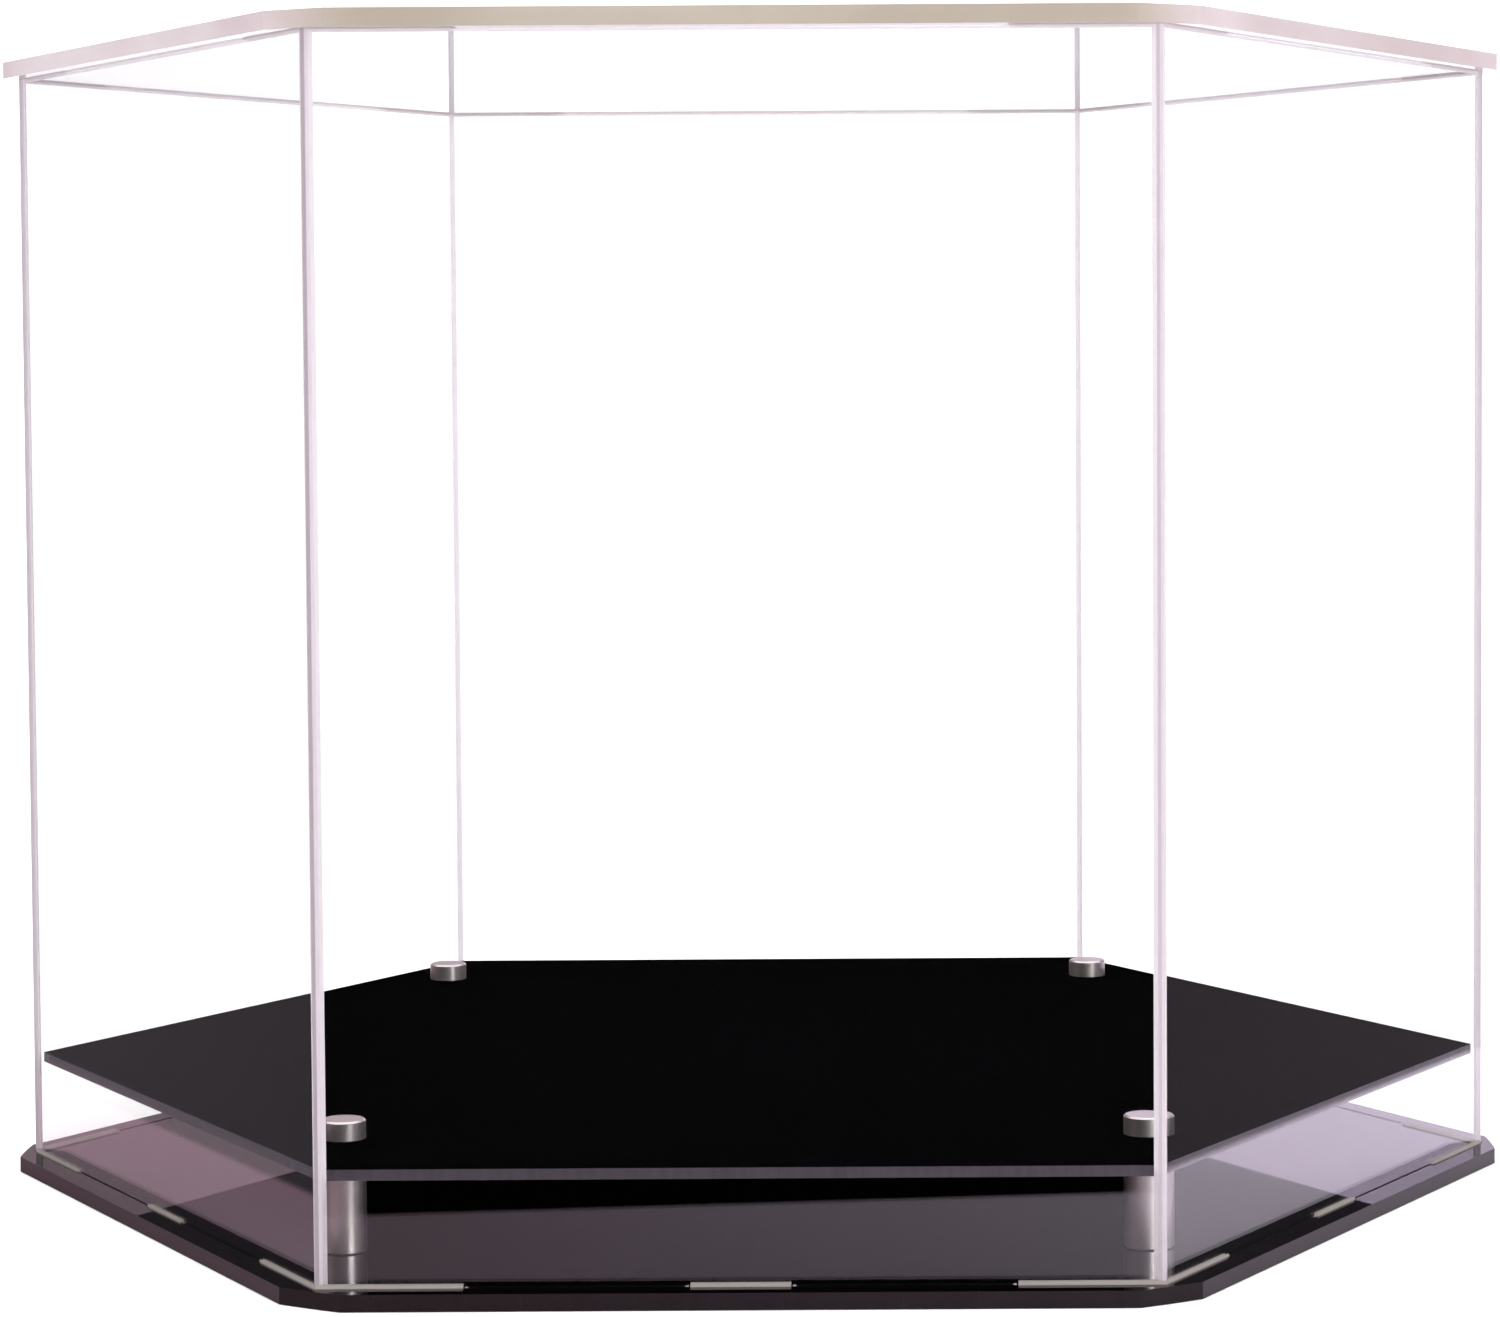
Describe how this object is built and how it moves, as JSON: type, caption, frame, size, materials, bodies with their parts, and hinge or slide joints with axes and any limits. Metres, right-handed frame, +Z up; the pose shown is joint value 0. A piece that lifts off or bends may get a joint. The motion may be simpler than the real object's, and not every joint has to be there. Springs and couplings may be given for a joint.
{
  "type": "football helmet display case",
  "caption": "Hexagonal clear acrylic display case for a football helmet, with a black base, a raised black platform on metal stand-offs and a lift-off cover",
  "frame": {"origin": "middle of the base plate's underside, which stands on the table", "axes": "+X runs along the front wall, to the right of a person facing it; +Z is up; -Y faces that person"},
  "size_m": [0.4622, 0.41, 0.3456],
  "materials": {
    "black_acrylic": "polished black acrylic sheet",
    "clear_acrylic": "polished clear acrylic sheet with cut edges",
    "brushed_standoff": "satin turned stainless steel",
    "dark_washer": "thin black rubber washers",
    "zinc_screw": "plain zinc-plated steel"
  },
  "bodies": {
    "base": {"base_plate": "black_acrylic", "display_platform": "black_acrylic", "standoff_screw_front_left": "zinc_screw", "standoff_barrel_front_left": "brushed_standoff", "lower_washer_front_left": "dark_washer", "upper_washer_front_left": "dark_washer", "standoff_cap_front_left": "brushed_standoff", "standoff_screw_front_right": "zinc_screw", "standoff_barrel_front_right": "brushed_standoff", "lower_washer_front_right": "dark_washer", "upper_washer_front_right": "dark_washer", "standoff_cap_front_right": "brushed_standoff", "standoff_screw_rear_left": "zinc_screw", "standoff_barrel_rear_left": "brushed_standoff", "lower_washer_rear_left": "dark_washer", "upper_washer_rear_left": "dark_washer", "standoff_cap_rear_left": "brushed_standoff", "standoff_screw_rear_right": "zinc_screw", "standoff_barrel_rear_right": "brushed_standoff", "lower_washer_rear_right": "dark_washer", "upper_washer_rear_right": "dark_washer", "standoff_cap_rear_right": "brushed_standoff"},
    "cover": {"wall_front": "clear_acrylic", "wall_front_right": "clear_acrylic", "wall_back_right": "clear_acrylic", "wall_back": "clear_acrylic", "wall_back_left": "clear_acrylic", "wall_front_left": "clear_acrylic", "top_plate": "clear_acrylic"}
  },
  "joints": [
    {"name": "cover_lift", "type": "slide", "parent": "base", "child": "cover", "axis": [0, 0, 1], "range_m": [0, 0.34]}
  ]
}
